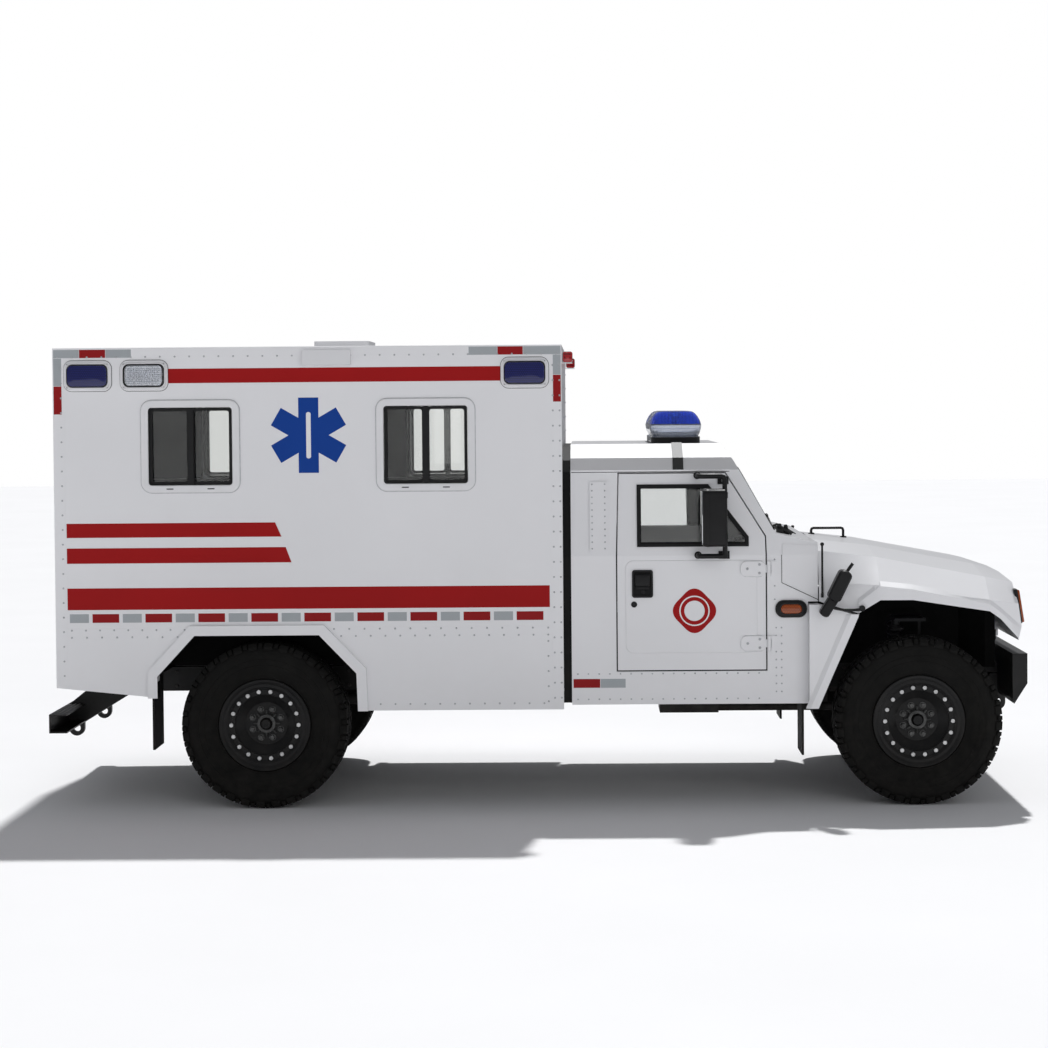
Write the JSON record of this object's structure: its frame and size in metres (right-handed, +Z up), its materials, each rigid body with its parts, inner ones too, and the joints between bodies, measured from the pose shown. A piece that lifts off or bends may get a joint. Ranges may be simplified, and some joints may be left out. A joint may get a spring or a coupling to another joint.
{
  "type": "off-road box ambulance truck",
  "caption": "High-clearance off-road ambulance truck: single cab with a forward-tilting bonnet, square load box with opening rear doors, lugged tyres and blue warning lamps.",
  "frame": {"origin": "on the ground, half way between the rear beam and the front bumper, on the centre line", "axes": "+X points to the front of the vehicle, +Y to its left side and +Z up"},
  "size_m": [5.539, 2.46, 2.6503],
  "materials": {
    "white_paint": "gloss",
    "white_plastic": "gloss",
    "black_steel": "satin",
    "cast_steel": "rough",
    "bare_steel": "satin",
    "bare_aluminium": "satin",
    "black_plastic": "matte",
    "black_rubber": "matte",
    "tyre_rubber": "matte",
    "clear_glass": "polished",
    "clear_lens": "polished",
    "blue_lens": "polished",
    "red_lens": "gloss",
    "seat_cloth": "matte"
  },
  "bodies": {
    "vehicle": {"chassis_frame": "black_steel", "wishbones": "black_steel", "spring_struts": "black_steel", "rear_hub_carriers": "cast_steel", "engine_block": "cast_steel", "drive_line": "cast_steel", "fuel_tank": "black_steel", "exhaust": "bare_steel", "radiator": "bare_aluminium", "box_side_walls": "white_paint", "box_window_frames": "white_paint", "box_window_sashes": "black_plastic", "box_window_panes": "clear_glass", "box_roof": "white_paint", "box_front_wall": "white_paint", "box_rear_frame": "white_paint", "box_floor": "bare_aluminium", "lamp_bezels": "white_plastic", "light_bar_base": "black_plastic", "blue_lamp_lenses": "blue_lens", "clear_lamp_lenses": "clear_lens", "roof_vents": "white_plastic", "marker_lamps": "red_lens", "arch_panels": "white_paint", "cab_body": "white_paint", "cab_roof": "white_paint", "windscreen": "clear_glass", "cab_floor": "black_steel", "seat_cushions": "seat_cloth", "gap_seal": "black_rubber", "dashboard": "black_plastic", "front_bumper": "black_steel", "rear_beam": "black_steel", "mud_flaps": "black_rubber", "interior_cabinets": "white_plastic"},
    "bonnet": {"bonnet": "white_plastic", "grille": "black_plastic", "head_lamps": "clear_lens", "bonnet_fittings": "black_plastic"},
    "door_left": {"door_left": "white_paint", "door_pane_left": "clear_glass", "door_fittings_left": "black_plastic"},
    "rear_door_left": {"rear_door_left": "white_paint", "rear_door_pane_left": "clear_glass"},
    "knuckle_left": {"knuckle_left": "cast_steel"},
    "wheel_front_left": {"rim_front_left": "black_steel", "tyre_front_left": "tyre_rubber"},
    "wheel_rear_left": {"rim_rear_left": "black_steel", "tyre_rear_left": "tyre_rubber"},
    "door_right": {"door_right": "white_paint", "door_pane_right": "clear_glass", "door_fittings_right": "black_plastic"},
    "rear_door_right": {"rear_door_right": "white_paint", "rear_door_pane_right": "clear_glass"},
    "knuckle_right": {"knuckle_right": "cast_steel"},
    "wheel_front_right": {"rim_front_right": "black_steel", "tyre_front_right": "tyre_rubber"},
    "wheel_rear_right": {"rim_rear_right": "black_steel", "tyre_rear_right": "tyre_rubber"}
  },
  "joints": [
    {"name": "bonnet_hinge", "type": "hinge", "parent": "vehicle", "child": "bonnet", "pos_m": [2.6565, 0, 0.9], "axis": [0, 1, 0], "range_deg": [0, 60]},
    {"name": "door_left_hinge", "type": "hinge", "parent": "vehicle", "child": "door_left", "pos_m": [1.3115, 1.025, 1.1], "axis": [0, 0, -1], "range_deg": [0, 70]},
    {"name": "door_right_hinge", "type": "hinge", "parent": "vehicle", "child": "door_right", "pos_m": [1.3115, -1.025, 1.1], "axis": [0, 0, 1], "range_deg": [0, 70]},
    {"name": "rear_door_left_hinge", "type": "hinge", "parent": "vehicle", "child": "rear_door_left", "pos_m": [-2.7105, 0.89, 1.6], "axis": [0, 0, -1], "range_deg": [0, 165]},
    {"name": "rear_door_right_hinge", "type": "hinge", "parent": "vehicle", "child": "rear_door_right", "pos_m": [-2.7105, -0.89, 1.6], "axis": [0, 0, 1], "range_deg": [0, 165]},
    {"name": "steer_left", "type": "hinge", "parent": "vehicle", "child": "knuckle_left", "pos_m": [2.1485, 0.84, 0.47], "axis": [0, 0, 1], "range_deg": [-30, 30]},
    {"name": "steer_right", "type": "hinge", "parent": "vehicle", "child": "knuckle_right", "pos_m": [2.1485, -0.84, 0.47], "axis": [0, 0, 1], "range_deg": [-30, 30]},
    {"name": "spin_front_left", "type": "hinge", "parent": "knuckle_left", "child": "wheel_front_left", "pos_m": [2.1485, 0.91, 0.47], "axis": [0, 1, 0], "continuous": true},
    {"name": "spin_front_right", "type": "hinge", "parent": "knuckle_right", "child": "wheel_front_right", "pos_m": [2.1485, -0.91, 0.47], "axis": [0, 1, 0], "continuous": true},
    {"name": "spin_rear_left", "type": "hinge", "parent": "vehicle", "child": "wheel_rear_left", "pos_m": [-1.5315, 0.91, 0.47], "axis": [0, 1, 0], "continuous": true},
    {"name": "spin_rear_right", "type": "hinge", "parent": "vehicle", "child": "wheel_rear_right", "pos_m": [-1.5315, -0.91, 0.47], "axis": [0, 1, 0], "continuous": true}
  ],
  "couplings": [
    {"joint": "steer_right", "follows": "steer_left", "ratio": 1}
  ]
}
